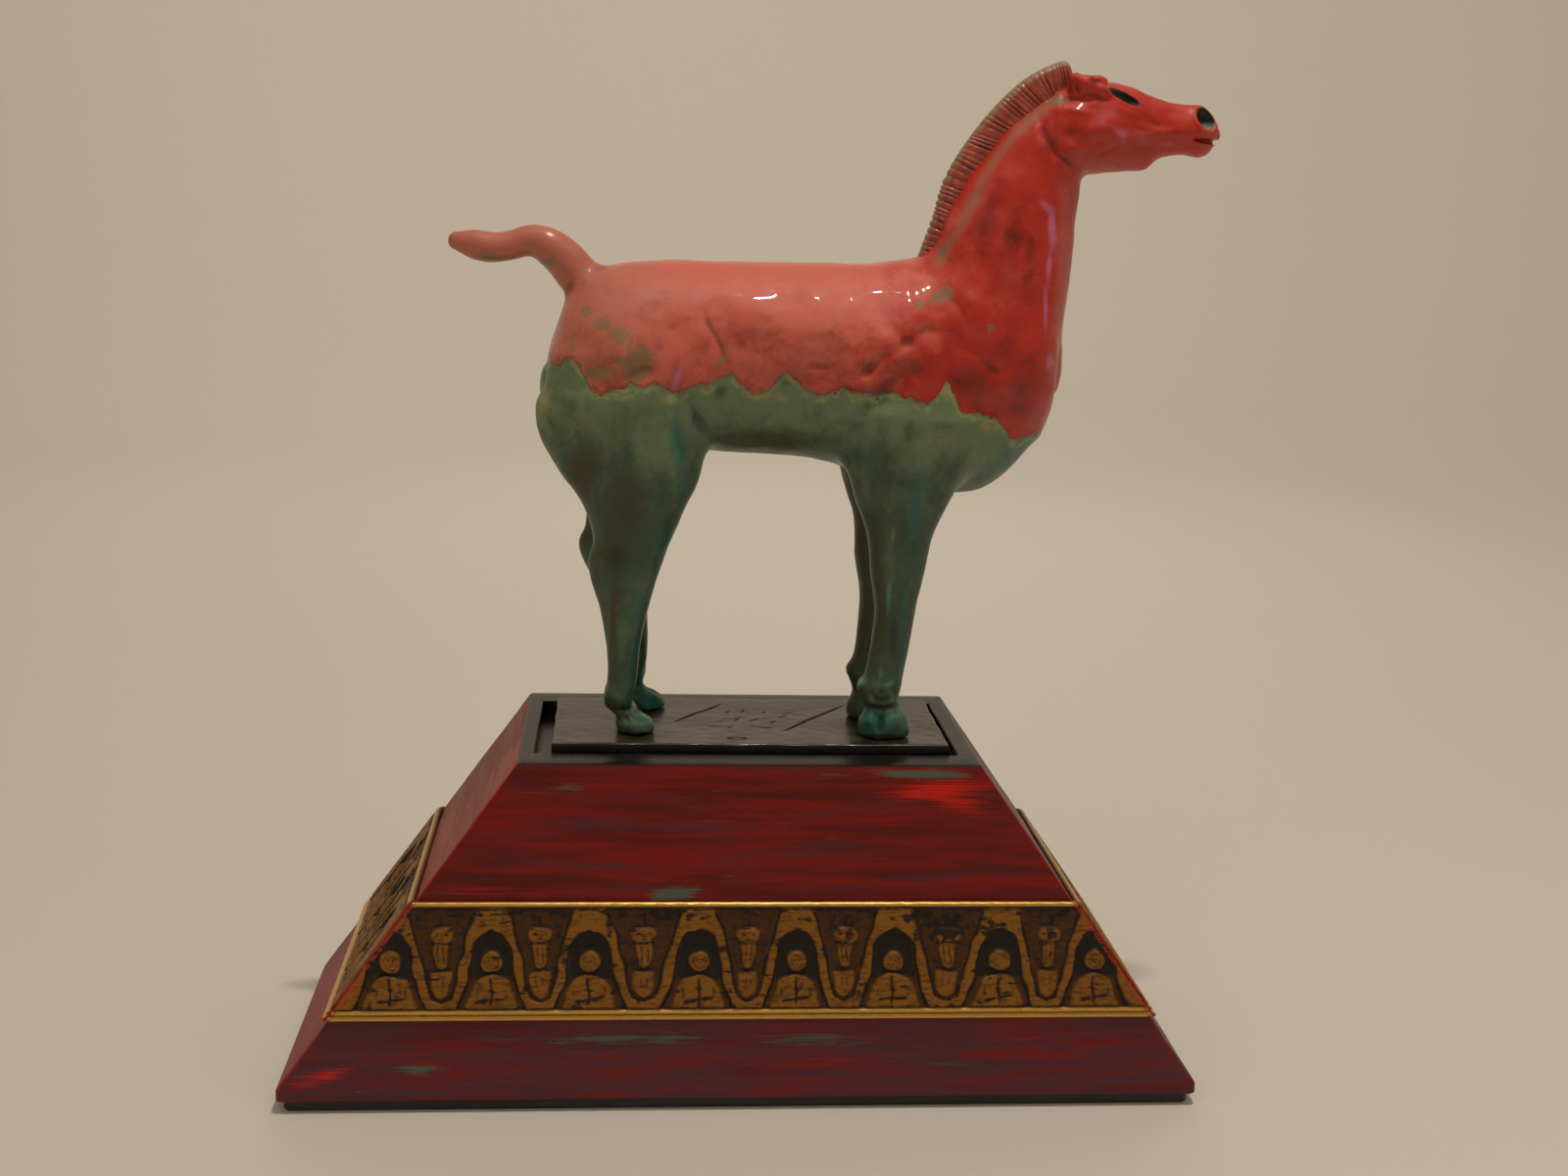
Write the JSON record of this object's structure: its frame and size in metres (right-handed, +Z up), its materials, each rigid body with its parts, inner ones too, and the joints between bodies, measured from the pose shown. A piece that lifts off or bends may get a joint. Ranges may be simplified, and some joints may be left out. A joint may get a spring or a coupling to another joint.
{
  "type": "ceramic horse figure on a plinth",
  "caption": "Glazed ceramic horse in the manner of a tomb figure, standing on a slab in a painted sloping plinth with a gilt relief frieze.",
  "frame": {"origin": "middle of the base board's underside", "axes": "+Z up, +X the way the horse faces, -Y the side that the viewer sees"},
  "size_m": [0.46, 0.156, 0.5162],
  "materials": {
    "board_paint": "thin board painted satin black",
    "plinth_paint": "wooden plinth brushed with dark red over purple-grey and teal",
    "gilt": "embossed moulding in ochre gilt, black in the recesses",
    "slab_glaze": "glossy black glaze with a grey-brown sheen",
    "horse_glaze": "glossy coral red glaze above, green and teal glaze below"
  },
  "bodies": {
    "root": {"base_board": "board_paint", "plinth": "plinth_paint", "band_front": "gilt", "band_back": "gilt", "band_left": "gilt", "band_right": "gilt", "slab": "slab_glaze", "horse": "horse_glaze"}
  },
  "joints": []
}
